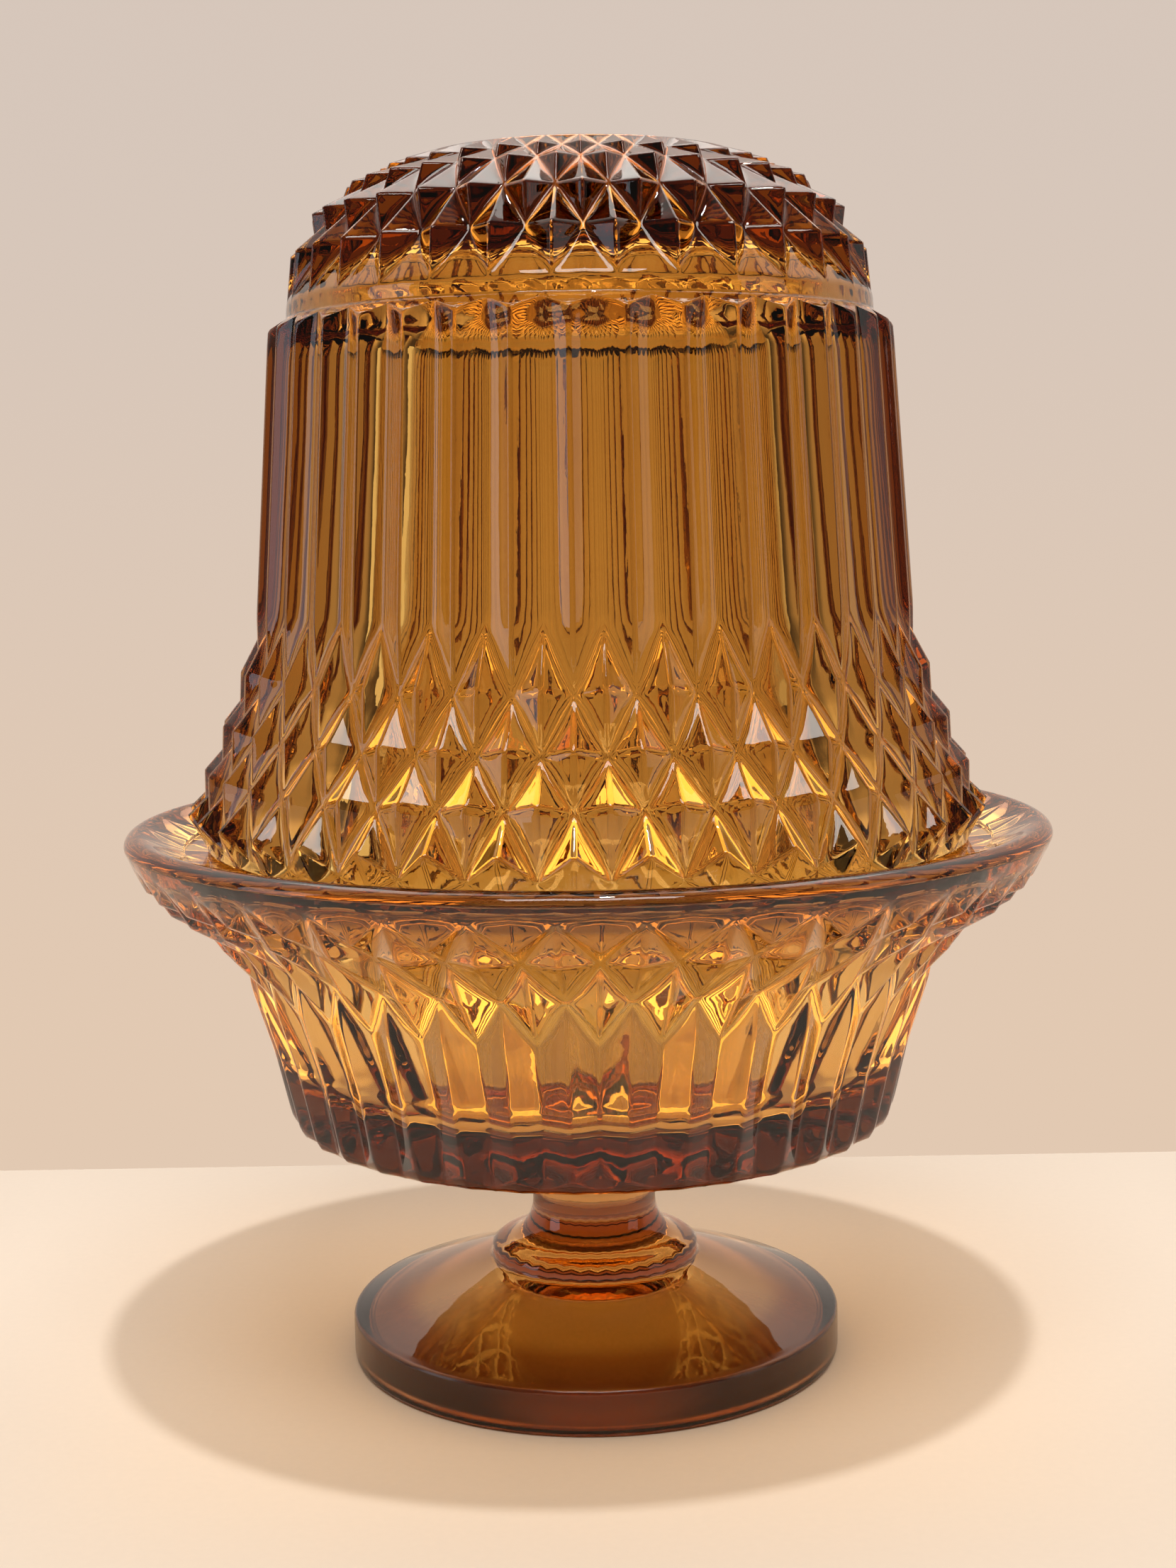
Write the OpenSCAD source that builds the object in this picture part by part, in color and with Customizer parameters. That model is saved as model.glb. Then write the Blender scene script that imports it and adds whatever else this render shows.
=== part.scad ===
// Footed fairy lamp of pressed amber glass: a bowl on a stem and foot, a domed shade that stands
// loose on a ledge inside the bowl's rim, and a tealight on the bowl's floor.
// Millimetres, +Z up, origin at the centre of the foot's underside.

/* [Foot and stem] */
// Diameter of the foot
foot_d = 68.8; // [56:0.2:90]
// Height of the foot's upright edge
foot_edge_h = 6.4; // [3:0.2:10]
// Rise of the foot's sloping top
foot_rise = 7; // [3:0.2:12]
// Depth of the hollow under the foot
foot_hollow = 7; // [2:0.2:9]
// Width of the ring that the foot stands on
foot_ring = 4; // [2.6:0.1:10]
// Diameter of the bell at the bottom of the stem
bell_d = 29; // [24:0.2:40]
// Height of the bell's upright edge
bell_edge_h = 2.2; // [1:0.1:4]
// Height of the bell's hollow curve
bell_h = 5.7; // [3:0.1:10]
// Diameter of the stem at its waist
stem_d = 17.4; // [12:0.2:22]
// Height from the waist to the underside of the bowl
stem_h = 12.5; // [8:0.5:24]

/* [Bowl] */
// Diameter of the bowl's rim, the widest place on the lamp
rim_d = 127; // [105:0.5:160]
// Diameter at the bottom of the bowl's flutes
bowl_base_d = 84.4; // [76:0.2:96]
// Diameter at the top of the bowl's flutes
bowl_hip_d = 94.4; // [86:0.2:102]
// Height of the bowl's rounded lower edge
bowl_heel_h = 2.2; // [1:0.1:4]
// Height of the bowl's flutes
bowl_flute_h = 18.2; // [12:0.2:30]
// Height of one row of points on the bowl
bowl_row_h = 6; // [4:0.1:9]
// Height of the plain band under the lip
bowl_band_h = 2.3; // [1:0.1:6]
// Height of the rounded lip
lip_h = 1.5; // [1:0.1:3]
// Thickness of the bowl's floor
floor_t = 7; // [4:0.2:14]
// Thickness of the bowl's wall behind the pattern
bowl_wall = 3.2; // [2.2:0.1:5.5]
// Width of the smooth slope between the seat and the lip
rim_slope_w = 6.3; // [4:0.1:9]
// Depth of the seat below the top of the lip
seat_depth = 2.8; // [1.8:0.1:5]

/* [Shade] */
// Length of the shade's flutes
flute_len = 37.4; // [24:0.2:60]
// Diameter at the bottom of the shade's flutes
flute_low_d = 89.8; // [84:0.2:98]
// Diameter at the top of the shade's flutes
flute_top_d = 84.4; // [82:0.2:94]
// Height of the sloping shoulder above the flutes
shoulder_h = 1.7; // [1:0.1:4]
// Diameter of the plain neck
neck_d = 79.2; // [72:0.2:80]
// Height of the plain neck
neck_h = 2.3; // [1.5:0.1:8]
// Height of the whole curve that the dome is cut from
dome_h = 20.4; // [16:0.1:30]
// Diameter of the vent in the top
vent_d = 28; // [20:0.5:34]
// Height of the first row of points on the skirt
skirt_row_h = 7.6; // [6:0.1:10]
// How much shorter each lower row of the skirt is
skirt_row_step = 0.7; // [0:0.1:1]
// Height of the plain edge that stands on the seat
skirt_edge_h = 0.6; // [0.4:0.1:3]
// Thickness of the shade's wall behind the pattern
shade_wall = 4.8; // [3:0.1:6]
// Thickness of the dome's wall at the neck
dome_wall = 6.4; // [5:0.1:9]
// Thickness of the dome's crown round the vent
dome_crown = 13.8; // [5:0.1:14.5]
// Gap between the shade's edge and the step around its seat
seat_gap = 0.5; // [0.2:0.1:1.5]

/* [Pattern] */
// Columns of points round the bowl
bowl_columns = 38; // [24:1:48]
// Columns of points round the shade's skirt
skirt_columns = 38; // [24:1:48]
// Columns of points round the dome
dome_columns = 32; // [18:1:40]
// Height of a point on the bowl, measured level
bowl_point_h = 3; // [1:0.1:3.6]
// Height of a point on the skirt, square to its face
skirt_point_h = 2.4; // [1:0.1:3]
// Height of a point on the dome, measured level
dome_point_h = 3.4; // [1.5:0.1:4]
// Depth of a flute on the bowl
bowl_flute_depth = 1.6; // [0.6:0.1:2.2]
// Depth of a flute on the shade
shade_flute_depth = 1.8; // [0.6:0.1:2.2]
// Turn of the shade in its seat, degrees
shade_turn = -1.8; // [-9:0.1:9]
// Turn of the bowl's pattern, degrees
bowl_turn = 1.2; // [-9:0.1:9]
// Turn of the dome's pattern on the shade, degrees
dome_turn = -2.9; // [-12:0.1:12]

/* [Tealight] */
// Outer diameter of the cup
cup_d = 38; // [30:0.5:44]
// Height of the cup
cup_h = 16; // [12:0.5:22]
// Thickness of the cup's sheet
cup_sheet = 0.4; // [0.3:0.1:0.8]
// Width of the cup's rolled rim
cup_roll = 0.5; // [0.3:0.1:1]
// Height of the wax
wax_h = 13.2; // [9:0.1:18]
// Depth of the dish in the top of the wax
wax_dish = 1.2; // [0.5:0.1:2]
// Diameter of the wick's sheet-metal foot
clip_d = 12; // [9:0.5:16]
// Height of the tube on the wick's foot
clip_tube_h = 3.4; // [2:0.1:6]
// Diameter of the wick
wick_d = 1.8; // [1.2:0.1:3]
// Length of the wick above the wax
wick_free = 8; // [4:0.5:14]

/* [Hidden] */

$fn = 72;
amber = [0.74, 0.43, 0.12];
cut = 1;

// Heights of the foot and stem
bell_z = foot_edge_h + foot_rise;
waist_z = bell_z + bell_edge_h + bell_h;
bowl_z = waist_z + stem_h;

// Heights and radii of the bowl
rim_r = rim_d / 2;
heel_z = bowl_z + bowl_heel_h;
hip_z = heel_z + bowl_flute_h;
bowl_rows = 3;
band_z = hip_z + bowl_rows * bowl_row_h;
rim_z = band_z + bowl_band_h;
lip_z = rim_z + lip_h;
lip_round = 1.7;
lip_land = 0.6;
band_inset = 1.1;
heel_flute = 1.3;
band_dip = 0.6;
floor_z = bowl_z + floor_t;
floor_round = 5;

// The seat in the rim and the edge of the shade that stands on it
seat_z = lip_z - seat_depth;
seat_step = 0.7;
seat_r = rim_r - lip_round - rim_slope_w;
edge_r = seat_r - seat_gap;
edge_in_r = edge_r - shade_wall - 0.4;
ledge_r = edge_in_r - 0.8;

// Heights of the shade
skirt_rows = 5;
spire_z = seat_z + skirt_edge_h + skirt_rows * skirt_row_h
    - skirt_row_step * skirt_rows * (skirt_rows - 1) / 2;
shoulder_z = spire_z + flute_len;
neck_z = shoulder_z + shoulder_h;
dome_z = neck_z + neck_h;
skirt_flare = 1.2;
hem = 0.3;
edge_inset = skirt_point_h + 0.2;

// The dome is a rounded-square arch, and its rows stand at these angles up the arch
dome_power = 2.6;
dome_angles = [0, 12, 27.5, 43, 53, 62.5];
lid_angle = 69.5;

// The wick's foot
clip_sheet = 0.4;
clip_tube_wall = 0.4;
wick_r = wick_d / 2;
tube_r = wick_r + clip_tube_wall;
wax_r = cup_d / 2 - cup_sheet;
wax_z = floor_z + cup_sheet;

// Eases from 0 to 1 with level ends
function ease(t) = t * t * (3 - 2 * t);

// Moves b inward by h, square to the line from a to c; points are [radius, height], a below c
function sink(a, b, c, h) =
    let (d = (c - a) / norm(c - a))
    b + h * [-d[1], d[0]];

// A ring of 2 n points, with p on even columns and q on odd columns
function ring(n, p, q, turn) = [
    for (i = [0 : 2 * n - 1])
        let (a = turn + 180 * i / n, s = i % 2 == 0 ? p : q)
            [s[0] * sin(a), -s[0] * cos(a), s[1]]
];

// Faces between a ring of 2 n points that starts at point k and the next one up.
// The fold in each cell leans the other way from column to column.
function band(n, k, lean) = [
    for (i = [0 : 2 * n - 1])
        let (a = k + i, b = k + (i + 1) % (2 * n), c = b + 2 * n, d = a + 2 * n)
            each (i + lean) % 2 == 0 ? [[a, d, b], [b, d, c]] : [[a, d, c], [a, c, b]]
];

// Faces between a ring of m points that starts at j and one above it of n points that starts at k
function join_rings(m, j, n, k) =
    let (near = function (i) floor((i + 0.5) * n / m + 0.5))
    [
        for (i = [0 : m - 1])
            each concat(
                [[j + i, k + near(i) % n, j + (i + 1) % m]],
                [for (u = [near(i - 1) : 1 : near(i) - 1])
                    [j + i, k + (u + n) % n, k + (u + 1 + n) % n]]
            )
    ];

// A flat end of m points that starts at k
function floor_face(m, k) = [[for (i = [0 : m - 1]) k + i]];
function roof_face(m, k) = [[for (i = [m - 1 : -1 : 0]) k + i]];

// Outline of the bowl: t runs from 0 at the hip to 1 at the plain band
function bowl_flare(t) = [
    bowl_hip_d / 2 + (rim_r - band_inset - bowl_hip_d / 2) * ease(t),
    hip_z + (band_z - hip_z) * t
];

// Outline of the skirt: row 0 is the top of the spires, and the last row is the plain edge
function skirt_drop(k) = k * skirt_row_h - skirt_row_step * k * (k - 1) / 2;
function skirt_at(k) =
    let (t = skirt_drop(k) / skirt_drop(skirt_rows - 1), r = flute_low_d / 2)
    [r + (edge_r - r) * min(1, pow(t, skirt_flare)), spire_z - skirt_drop(k)];

// Outline of the dome at an angle up the arch
function dome_at(a, r, h) = [
    r * pow(cos(a), 2 / dome_power),
    dome_z + h * pow(sin(a), 2 / dome_power)
];

// Patterned outside of the bowl, as one closed skin
module bowl_skin() {
    n = bowl_columns;
    heel = [bowl_base_d / 2, heel_z];
    hip = bowl_flare(0);
    row1 = bowl_flare(1 / bowl_rows);
    row2 = bowl_flare(2 / bowl_rows);
    top = bowl_flare(1);
    belly = (heel + hip) / 2 - [0.4, 0];
    apex = bowl_flare(1 - band_dip / bowl_rows);
    groove = [bowl_flute_depth, 0];
    dent = [bowl_point_h, 0];
    rings = [
        [heel - [2.4, bowl_heel_h], heel - [2.4, bowl_heel_h]],
        [heel - [0.8 + heel_flute * 0.6, bowl_heel_h * 0.65], heel - [0.8, bowl_heel_h * 0.65]],
        [heel - [heel_flute, 0], heel],
        [belly - groove, belly],
        [hip - groove, hip],
        [row1, row1 - dent],
        [row2 - dent, row2],
        [apex, top],
        [[rim_r, rim_z], [rim_r, rim_z]],
        [[rim_r - lip_round * 0.35, lip_z - lip_h * 0.35], [rim_r - lip_round * 0.35, lip_z - lip_h * 0.35]],
        [[rim_r - lip_round, lip_z], [rim_r - lip_round, lip_z]]
    ];
    last = len(rings) - 1;
    polyhedron(
        points = [for (r = rings) each ring(n, r[0], r[1], bowl_turn)],
        faces = concat(
            floor_face(2 * n, 0),
            [for (k = [0 : last - 1]) each band(n, 2 * n * k, k + 1)],
            roof_face(2 * n, 2 * n * last)
        ),
        convexity = 6
    );
}

// Foot, bell and stem, turned about the axis
module foot_and_stem() {
    foot_r = foot_d / 2;
    bell_r = bell_d / 2;
    stem_r = stem_d / 2;
    soft = 0.7;
    steps = 8;
    rotate_extrude()
        polygon(concat(
            [
                [0, 0],
                [foot_r - soft, 0],
                [foot_r, soft],
                [foot_r, foot_edge_h - soft],
                [foot_r - soft, foot_edge_h],
                [bell_r + soft, bell_z - 0.3],
                [bell_r, bell_z]
            ],
            [for (i = [0 : steps])
                let (a = 90 * i / steps)
                    [stem_r + (bell_r - stem_r) * (1 - sin(a)), waist_z - bell_h * cos(a)]],
            [for (i = [1 : steps])
                let (t = i / steps)
                    [stem_r + stem_r * 1.3 * pow(t, 3), waist_z + stem_h * (1 - pow(1 - t, 1.4))]],
            [[stem_r * 2.3, bowl_z + cut], [0, bowl_z + cut]]
        ));
}

// Everything that the bowl holds: floor, wall, ledge, seat and the slope up to the lip
module bowl_hollow() {
    hip_in = bowl_hip_d / 2 - bowl_flute_depth - bowl_wall;
    row_in = bowl_flare(1 / bowl_rows) - [bowl_point_h + bowl_wall, 0];
    base_in = hip_in - (bowl_hip_d - bowl_base_d) / 2 * (hip_z - floor_z) / bowl_flute_h;
    steps = 6;
    rotate_extrude()
        polygon(concat(
            [[0, floor_z], [base_in - floor_round, floor_z]],
            [for (i = [1 : steps])
                let (a = 90 * i / steps)
                    [base_in - floor_round + floor_round * sin(a), floor_z + floor_round * (1 - cos(a))]],
            [
                [hip_in, hip_z],
                [min(row_in[0], ledge_r), row_in[1]],
                [ledge_r, seat_z - 4],
                [ledge_r, seat_z],
                [seat_r, seat_z],
                [seat_r, seat_z + seat_step],
                [rim_r - lip_round - lip_land - 0.8, lip_z - 0.3],
                [rim_r - lip_round - lip_land, lip_z],
                [rim_r - lip_round - lip_land, lip_z + cut],
                [0, lip_z + cut]
            ]
        ));
}

// Hollow under the foot, a low cone below its sloping top, which leaves a ring to stand on
module foot_hollow_cut() {
    r = foot_d / 2 - foot_ring;
    rotate_extrude()
        polygon([
            [0, -cut],
            [r, -cut],
            [r, 0],
            [r - 0.6, 0.6],
            [bell_d * 0.4, foot_hollow],
            [0, foot_hollow + 0.6]
        ]);
}

module footed_bowl() {
    color(amber)
        difference() {
            union() {
                bowl_skin();
                foot_and_stem();
            }
            bowl_hollow();
            foot_hollow_cut();
        }
}

// Patterned outside of the shade, as one closed skin
module shade_skin() {
    n = skirt_columns;
    m = dome_columns;
    edge = [edge_r - edge_inset, seat_z];
    hem_top = edge + [0, skirt_edge_h];
    low = [for (k = [0 : skirt_rows]) skirt_at(k)];
    flute_low = low[0];
    flute_top = [flute_top_d / 2, shoulder_z];
    groove_top = flute_top + shade_flute_depth * [-1, shoulder_h / (flute_top_d - neck_d) * 2];
    hem_corner = [low[4][0] - skirt_point_h, hem_top[1] + hem * (low[4][1] - hem_top[1])];
    neck = [neck_d / 2, neck_z];
    skirt = [
        [edge, edge],
        [hem_top, hem_top],
        [low[4], hem_corner],
        [sink(low[4], low[3], low[2], skirt_point_h), low[3]],
        [low[2], sink(low[3], low[2], low[1], skirt_point_h)],
        [sink(low[2], low[1], low[0], skirt_point_h), low[1]],
        [flute_low, flute_low - [shade_flute_depth, 0]],
        [flute_top, groove_top],
        [neck, neck]
    ];
    arch = [for (a = concat(dome_angles, [lid_angle])) dome_at(a, neck_d / 2 - 0.2, dome_h)];
    dent = [dome_point_h, 0];
    dome = [
        [arch[0], arch[0]],
        [arch[1], arch[1] - dent],
        [arch[2] - dent, arch[2]],
        [arch[3], arch[3] - dent],
        [arch[4] - dent, arch[4]],
        [arch[5], arch[5]],
        [arch[6], arch[6]]
    ];
    s = len(skirt) - 1;
    d = len(dome) - 1;
    start = 2 * n * (s + 1);
    polyhedron(
        points = concat(
            [for (r = skirt) each ring(n, r[0], r[1], shade_turn)],
            [for (r = dome) each ring(m, r[0], r[1], shade_turn + dome_turn)]
        ),
        faces = concat(
            floor_face(2 * n, 0),
            [for (k = [0 : s - 1]) each band(n, 2 * n * k, k)],
            join_rings(2 * n, 2 * n * s, 2 * m, start),
            [for (k = [0 : d - 1]) each band(m, start + 2 * m * k, k + 1)],
            roof_face(2 * m, start + 2 * m * d)
        ),
        convexity = 6
    );
}

// Smooth inside of the shade and the vent through its top
module shade_hollow() {
    low_r = flute_low_d / 2 - shade_flute_depth - shade_wall;
    top_r = flute_top_d / 2 - shade_flute_depth - shade_wall;
    dome_r = neck_d / 2 - dome_wall;
    inner_h = dome_h - dome_crown;
    vent_r = vent_d / 2;
    vent_angle = acos(pow(vent_r / dome_r, dome_power / 2));
    steps = 8;
    rotate_extrude()
        polygon(concat(
            [[0, seat_z - cut], [edge_in_r, seat_z - cut], [edge_in_r, seat_z]],
            [for (k = [skirt_rows - 1 : -1 : 1]) skirt_at(k) - [skirt_point_h + shade_wall, 0]],
            [[low_r, spire_z], [top_r, shoulder_z - 2], [min(top_r, dome_r), neck_z]],
            [for (i = [0 : steps]) dome_at(vent_angle * i / steps, dome_r, inner_h)],
            [[vent_r, dome_z + dome_h + cut], [0, dome_z + dome_h + cut]]
        ));
}

module shade() {
    color(amber)
        difference() {
            shade_skin();
            shade_hollow();
        }
}

// Pressed aluminium cup with a rolled rim
module tealight_cup() {
    r = cup_d / 2;
    soft = 1.2;
    color([0.82, 0.82, 0.84])
        translate([0, 0, floor_z])
            rotate_extrude()
                polygon([
                    [0, 0],
                    [r - soft, 0],
                    [r - soft * 0.3, soft * 0.3],
                    [r, soft],
                    [r, cup_h - cup_roll * 2],
                    [r + cup_roll, cup_h - cup_roll * 1.5],
                    [r + cup_roll, cup_h - cup_roll * 0.5],
                    [r, cup_h],
                    [r - cup_sheet, cup_h - cup_roll * 0.5],
                    [r - cup_sheet, soft],
                    [r - cup_sheet - soft * 0.8, cup_sheet],
                    [0, cup_sheet]
                ]);
}

// Wax cast in the cup round the wick and its foot, with a shallow dish in the top
module wax() {
    soft = 1.2;
    color([0.96, 0.94, 0.88])
        translate([0, 0, wax_z])
            rotate_extrude()
                polygon([
                    [clip_d / 2, 0],
                    [wax_r - soft * 0.8, 0],
                    [wax_r, soft - cup_sheet],
                    [wax_r, wax_h],
                    [wax_r - 2, wax_h - wax_dish * 0.35],
                    [wax_r * 0.5, wax_h - wax_dish],
                    [wick_r * 2, wax_h - wax_dish],
                    [wick_r, wax_h - wax_dish + 0.5],
                    [wick_r, clip_sheet + clip_tube_h],
                    [tube_r, clip_sheet + clip_tube_h],
                    [tube_r, clip_sheet],
                    [clip_d / 2, clip_sheet]
                ]);
}

// Sheet-metal disc with a tube that grips the wick
module wick_clip() {
    color([0.7, 0.7, 0.72])
        translate([0, 0, wax_z])
            difference() {
                union() {
                    cylinder(d = clip_d, h = clip_sheet);
                    cylinder(r = tube_r, h = clip_sheet + clip_tube_h);
                }
                translate([0, 0, clip_sheet])
                    cylinder(r = wick_r, h = clip_tube_h + cut);
            }
}

// Cotton wick, from the tube's floor to above the wax
module wick() {
    tip = wick_r * 0.4;
    top = wax_h + wick_free;
    color([0.93, 0.91, 0.84])
        translate([0, 0, wax_z])
            rotate_extrude()
                polygon([
                    [0, clip_sheet],
                    [wick_r, clip_sheet],
                    [wick_r, top - tip],
                    [wick_r - tip, top],
                    [0, top]
                ]);
}

footed_bowl();
shade();
tealight_cup();
wax();
wick_clip();
wick();
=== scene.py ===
"""Footed fairy lamp of pressed amber glass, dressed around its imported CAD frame."""

import logging
import math
from dataclasses import dataclass, field
from enum import Enum

import bmesh
import bpy
import numpy as np
from mathutils import Matrix, Vector


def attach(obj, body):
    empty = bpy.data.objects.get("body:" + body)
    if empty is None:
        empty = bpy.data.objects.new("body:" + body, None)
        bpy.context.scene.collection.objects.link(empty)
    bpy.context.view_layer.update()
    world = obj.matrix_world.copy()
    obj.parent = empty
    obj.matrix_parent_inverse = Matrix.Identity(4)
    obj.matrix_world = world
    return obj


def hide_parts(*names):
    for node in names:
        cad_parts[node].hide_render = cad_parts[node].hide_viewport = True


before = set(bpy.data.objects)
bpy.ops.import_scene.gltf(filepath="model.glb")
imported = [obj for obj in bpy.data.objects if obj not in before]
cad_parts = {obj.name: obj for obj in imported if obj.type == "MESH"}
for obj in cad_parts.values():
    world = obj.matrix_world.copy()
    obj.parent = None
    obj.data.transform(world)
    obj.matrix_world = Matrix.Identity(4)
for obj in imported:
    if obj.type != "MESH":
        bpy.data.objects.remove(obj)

log = logging.getLogger("fairy_lamp")

MM = 0.001
COLUMNS = 456
DOME_COLUMNS = 512
CLUSTER = 0.6

Point = tuple[float, float]
Colour = tuple[float, float, float]


class Fold(Enum):
    """Column from which the fold in a moulded cell starts at the cell's lower edge."""

    EVEN = "even"
    ODD = "odd"


def cluster(x: float) -> float:
    """Moves a share of a cell towards the cell's ends, where the edges of its facets are."""
    return x - CLUSTER * math.sin(2 * math.pi * x) / (2 * math.pi)


def between(a: Point, b: Point, t: float) -> Point:
    """Point at share t of the way from a to b."""
    return (a[0] + (b[0] - a[0]) * t, a[1] + (b[1] - a[1]) * t)


def sink(a: Point, b: Point, c: Point, depth: float) -> Point:
    """Moves a point of an outline inward, square to the line through its neighbours.

    Args:
        a: Neighbour below, as radius and height.
        b: The point to move.
        c: Neighbour above.
        depth: Distance to move.

    Returns:
        The moved point.
    """
    run, rise = c[0] - a[0], c[1] - a[1]
    length = math.hypot(run, rise)
    return (b[0] - depth * rise / length, b[1] + depth * run / length)


def arc(centre: Point, radii: Point, start: float, end: float, steps: int) -> list[Point]:
    """Points along part of an ellipse in an outline.

    Args:
        centre: Centre of the ellipse.
        radii: Its radii outward and upward.
        start: First angle in degrees, from the outward direction.
        end: Last angle in degrees.
        steps: Number of steps between them.

    Returns:
        The points, the ends included.
    """
    turn = [math.radians(start + (end - start) * i / steps) for i in range(steps + 1)]
    return [(centre[0] + radii[0] * math.cos(a), centre[1] + radii[1] * math.sin(a)) for a in turn]


def line(a: Point, b: Point, steps: int) -> list[Point]:
    """Points along a straight part of an outline, without its last point."""
    return [between(a, b, i / steps) for i in range(steps)]


@dataclass(frozen=True)
class Ring:
    """Ring of moulded points: one place for even columns and one for odd columns."""

    even: Point
    odd: Point

    @classmethod
    def plain(cls, point: Point) -> "Ring":
        """Ring that is round."""
        return cls(point, point)


@dataclass(frozen=True)
class Moulding:
    """How the columns of the mould lie round one zone of a skin."""

    cells: int
    turn: float
    flat: bool = True
    soft: float = 0.35
    bow: float = 0.0


@dataclass
class Rows:
    """Rows of a skin in order round its section, with what the nodes need to spin each one."""

    even: list[Point] = field(default_factory=list)
    odd: list[Point] = field(default_factory=list)
    crease: list[Point] = field(default_factory=list)
    crease_at: list[float] = field(default_factory=list)
    style: list[Moulding] = field(default_factory=list)
    lean: list[int] = field(default_factory=list)

    def add(self, even: Point, odd: Point, crease: Point, at: float, style: Moulding, lean: int) -> None:
        """Adds one row."""
        self.even.append(even)
        self.odd.append(odd)
        self.crease.append(crease)
        self.crease_at.append(at)
        self.style.append(style)
        self.lean.append(lean)

    def band(self, low: Ring, high: Ring, fold: Fold, steps: int, style: Moulding) -> None:
        """Adds the rows between two rings, without the upper one.

        Args:
            low: Lower ring.
            high: Upper ring.
            fold: Column from which the folds start.
            steps: Number of rows to add.
            style: How the columns lie.
        """
        for j in range(steps):
            t = cluster(j / steps)
            even = between(low.even, high.even, t)
            odd = between(low.odd, high.odd, t)
            if fold is Fold.EVEN:
                self.add(even, odd, between(low.even, high.odd, t), t, style, 0)
            else:
                self.add(even, odd, between(low.odd, high.even, t), 1 - t, style, 1)

    def flutes(self, low: Ring, high: Ring, ridge: Fold, steps: int, style: Moulding) -> None:
        """Adds the rows of straight flutes with narrow flat ridges, without the upper ring.

        Args:
            low: Lower ring.
            high: Upper ring.
            ridge: Columns that the ridges run along.
            steps: Number of rows to add.
            style: How the columns lie.
        """
        width = cluster(1 / style.cells)
        for j in range(steps):
            even = between(low.even, high.even, j / steps)
            odd = between(low.odd, high.odd, j / steps)
            if ridge is Fold.EVEN:
                self.add(even, odd, even, width, style, 0)
            else:
                self.add(even, odd, odd, 1 - width, style, 0)

    def smooth(self, points: list[Point], style: Moulding) -> None:
        """Adds round rows through the points."""
        for p in points:
            self.add(p, p, p, 0.5, style, 0)

    def mesh(self, name: str) -> bpy.types.Mesh:
        """Writes the rows as a line of points with attributes.

        Args:
            name: Name of the mesh.

        Returns:
            The mesh, in metres.
        """
        count = len(self.even)
        mesh = bpy.data.meshes.new(name)
        points = [(r * MM, 0.0, z * MM) for r, z in self.even]
        mesh.from_pydata(points, [(i, i + 1) for i in range(count - 1)], [])
        for key, values in (("even", self.even), ("odd", self.odd), ("crease", self.crease)):
            data = np.array([(r * MM, z * MM, 0.0) for r, z in values], np.float32)
            mesh.attributes.new(key, "FLOAT_VECTOR", "POINT").data.foreach_set("vector", data.ravel())
        numbers = {
            "crease_at": self.crease_at,
            "cells": [s.cells for s in self.style],
            "turn": [math.radians(s.turn) for s in self.style],
            "flat": [float(s.flat) for s in self.style],
            "soft": [s.soft for s in self.style],
            "bow": [s.bow * MM for s in self.style],
            "lean": self.lean,
        }
        for key, values in numbers.items():
            data = np.array(values, np.float32)
            mesh.attributes.new(key, "FLOAT", "POINT").data.foreach_set("value", data)
        return mesh


class NodeSheet:
    """Adds nodes to one tree and links them."""

    def __init__(self, tree: bpy.types.NodeTree) -> None:
        """Keeps the tree."""
        self.tree = tree

    def feed(self, socket: bpy.types.NodeSocket, value: object) -> None:
        """Links a socket or sets its own value."""
        if isinstance(value, bpy.types.NodeSocket):
            self.tree.links.new(value, socket)
        else:
            socket.default_value = value

    def add(self, kind: str, feeds: dict | None = None, **settings: object) -> bpy.types.Node:
        """Adds a node.

        Args:
            kind: Type of the node.
            feeds: Values or sockets for its inputs, by name or place.
            **settings: Properties of the node.

        Returns:
            The node.
        """
        node = self.tree.nodes.new(kind)
        for key, value in settings.items():
            setattr(node, key, value)
        for key, value in (feeds or {}).items():
            socket = node.inputs[key]
            if isinstance(key, str) and not socket.enabled:
                socket = next(s for s in node.inputs if s.name == key and s.enabled)
            self.feed(socket, value)
        return node

    def math(self, operation: str, *values: object) -> bpy.types.NodeSocket:
        """Result of a Math node on the values."""
        node = self.tree.nodes.new("ShaderNodeMath")
        node.operation = operation
        for i, value in enumerate(values):
            self.feed(node.inputs[i], value)
        return node.outputs[0]

    def mix(self, factor: object, a: object, b: object) -> bpy.types.NodeSocket:
        """Vector at a clamped share of the way from a to b."""
        node = self.tree.nodes.new("ShaderNodeMix")
        node.data_type = "VECTOR"
        node.clamp_factor = True
        self.feed(node.inputs[0], factor)
        self.feed(node.inputs[4], a)
        self.feed(node.inputs[5], b)
        return node.outputs[1]

    def ramp(self, value: object, low: float, high: float) -> bpy.types.NodeSocket:
        """Share from 0 to 1, eased, as a value goes from low to high."""
        node = self.add(
            "ShaderNodeMapRange",
            {"Value": value, "From Min": low, "From Max": high},
            interpolation_type="SMOOTHSTEP",
        )
        return node.outputs[0]

    def blend(self, share: object, a: object, b: object) -> bpy.types.NodeSocket:
        """Colour at a share of the way from a to b."""
        node = self.add("ShaderNodeMix", data_type="RGBA")
        for place, value in ((0, share), (6, a), (7, b)):
            self.feed(node.inputs[place], value)
        return node.outputs[2]


def shown(sockets: bpy.types.bpy_prop_collection, name: str) -> bpy.types.NodeSocket:
    """Socket of that name that the node has in use."""
    return next(s for s in sockets if s.name == name and s.enabled)


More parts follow.
